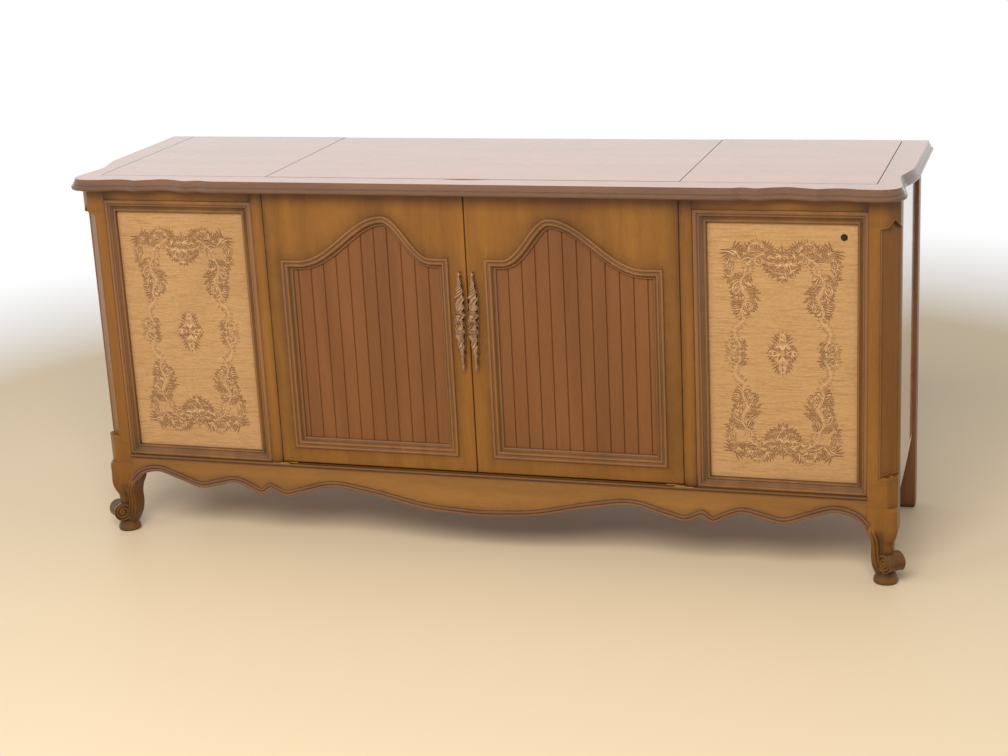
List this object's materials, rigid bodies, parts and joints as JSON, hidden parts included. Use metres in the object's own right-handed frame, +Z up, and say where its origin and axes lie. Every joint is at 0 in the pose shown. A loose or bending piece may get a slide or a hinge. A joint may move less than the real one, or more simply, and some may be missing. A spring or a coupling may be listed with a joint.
{
  "type": "console stereo cabinet",
  "caption": "Long provincial-style stereo console with a serpentine top, arched boarded doors, woven speaker grilles and a lifting lid over a record changer and tuner.",
  "frame": {"origin": "on the floor, under the middle of the top", "axes": "+X along the front towards the right-hand speaker bay, +Y towards the back, +Z up"},
  "size_m": [1.626, 0.48, 0.744],
  "materials": {
    "top_veneer": "gloss lacquer",
    "front_wood": "satin lacquer, shaded edges",
    "dark_wood": "satin lacquer",
    "panel_wood": "satin lacquer",
    "inner_board": "unfinished",
    "back_board": "pressed board",
    "grille_cloth": "woven",
    "antique_brass": "aged",
    "steel": "plated",
    "speaker_black": "matt",
    "black_plastic": "moulded",
    "chassis_metal": "zinc grey",
    "panel_metal": "brushed",
    "dial_glass": "clear",
    "changer_paint": "enamel",
    "platter_rubber": "ribbed mat",
    "arm_metal": "satin",
    "pointer_red": "satin"
  },
  "bodies": {
    "cabinet": {"top_front_edge": "top_veneer", "top_corner_left": "top_veneer", "top_corner_right": "top_veneer", "top_panels": "top_veneer", "end_panels": "top_veneer", "front_leg_left": "front_wood", "front_leg_right": "front_wood", "rear_legs": "dark_wood", "apron": "front_wood", "apron_bead": "dark_wood", "base_moulding": "dark_wood", "door_stiles": "front_wood", "friezes": "front_wood", "speaker_frame_left": "dark_wood", "speaker_frame_right": "dark_wood", "grille_left": "grille_cloth", "grille_right": "grille_cloth", "baffles": "inner_board", "speakers": "speaker_black", "pilot_lamp": "black_plastic", "partitions": "inner_board", "bottom_board": "inner_board", "storage_ceiling": "inner_board", "fascia": "front_wood", "motor_board": "inner_board", "top_rails": "inner_board", "back_panel": "back_board", "back_screws": "steel", "record_dividers": "inner_board", "door_fittings": "antique_brass", "lid_fittings": "antique_brass", "amplifier": "chassis_metal", "mains_inlet": "black_plastic", "tuner_chassis": "chassis_metal", "tuner_panel": "panel_metal", "dial_glass": "dial_glass", "changer_plate": "changer_paint", "spindle": "steel"},
    "door_left": {"door_frame_left": "front_wood", "door_panel_left": "panel_wood", "door_moulding_left": "dark_wood", "door_pull_left": "antique_brass", "door_ironwork_left": "antique_brass"},
    "door_right": {"door_frame_right": "front_wood", "door_panel_right": "panel_wood", "door_moulding_right": "dark_wood", "door_pull_right": "antique_brass", "door_ironwork_right": "antique_brass"},
    "lid": {"lid": "top_veneer", "lid_hinge_wings": "antique_brass"},
    "stay_tube": {"stay_tube": "steel"},
    "stay_rod": {"stay_rod": "steel"},
    "platter": {"platter": "platter_rubber"},
    "arm_post": {"arm_post": "black_plastic"},
    "tone_arm": {"tone_arm": "arm_metal"},
    "record_arm": {"record_arm": "steel"},
    "knob_tuning": {"knob_tuning": "black_plastic"},
    "knob_volume": {"knob_volume": "black_plastic"},
    "knob_tone": {"knob_tone": "black_plastic"},
    "dial_pointer": {"dial_pointer": "pointer_red"}
  },
  "joints": [
    {"name": "door_left_hinge", "type": "hinge", "parent": "cabinet", "child": "door_left", "pos_m": [-0.4065, -0.209, 0.447], "axis": [0, 0, -1], "range_deg": [0, 110]},
    {"name": "door_right_hinge", "type": "hinge", "parent": "cabinet", "child": "door_right", "pos_m": [0.4065, -0.209, 0.447], "axis": [0, 0, 1], "range_deg": [0, 110]},
    {"name": "lid_hinge", "type": "hinge", "parent": "cabinet", "child": "lid", "pos_m": [0, 0.236, 0.722], "axis": [-1, 0, 0], "range_deg": [0, 66]},
    {"name": "stay_tube_pivot", "type": "hinge", "parent": "cabinet", "child": "stay_tube", "pos_m": [-0.393, 0.20549, 0.64804], "axis": [-1, 0, 0], "range_deg": [0, 33.1]},
    {"name": "stay_rod_pivot", "type": "hinge", "parent": "lid", "child": "stay_rod", "pos_m": [-0.393, 0.15616, 0.717], "axis": [-1, 0, 0], "range_deg": [-33.1, 0]},
    {"name": "platter_spin", "type": "hinge", "parent": "cabinet", "child": "platter", "pos_m": [0.188, 0, 0.66], "axis": [0, 0, -1], "continuous": true},
    {"name": "arm_swing", "type": "hinge", "parent": "cabinet", "child": "arm_post", "pos_m": [0.334, 0.095, 0.66], "axis": [0, 0, -1], "range_deg": [0, 41]},
    {"name": "arm_lift", "type": "hinge", "parent": "arm_post", "child": "tone_arm", "pos_m": [0.334, 0.095, 0.681], "axis": [-1, 0, 0], "range_deg": [0, 7]},
    {"name": "record_arm_swing", "type": "hinge", "parent": "cabinet", "child": "record_arm", "pos_m": [0.07, 0.124, 0.68], "axis": [0, 0, 1], "range_deg": [0, 50]},
    {"name": "tuning", "type": "hinge", "parent": "cabinet", "child": "knob_tuning", "pos_m": [-0.112, -0.062, 0.66], "axis": [0, 0, -1], "range_deg": [-540, 540]},
    {"name": "volume", "type": "hinge", "parent": "cabinet", "child": "knob_volume", "pos_m": [-0.298, -0.062, 0.66], "axis": [0, 0, -1], "range_deg": [0, 270]},
    {"name": "tone", "type": "hinge", "parent": "cabinet", "child": "knob_tone", "pos_m": [-0.205, -0.062, 0.66], "axis": [0, 0, -1], "range_deg": [-135, 135]},
    {"name": "dial_slide", "type": "slide", "parent": "cabinet", "child": "dial_pointer", "axis": [1, 0, 0], "range_m": [-0.094, 0.094]}
  ],
  "couplings": [
    {"joint": "stay_tube_pivot", "follows": "lid_hinge", "ratio": 0.5},
    {"joint": "stay_rod_pivot", "follows": "lid_hinge", "ratio": -0.5},
    {"joint": "dial_slide", "follows": "tuning", "m_per_rad": 0.00997}
  ]
}
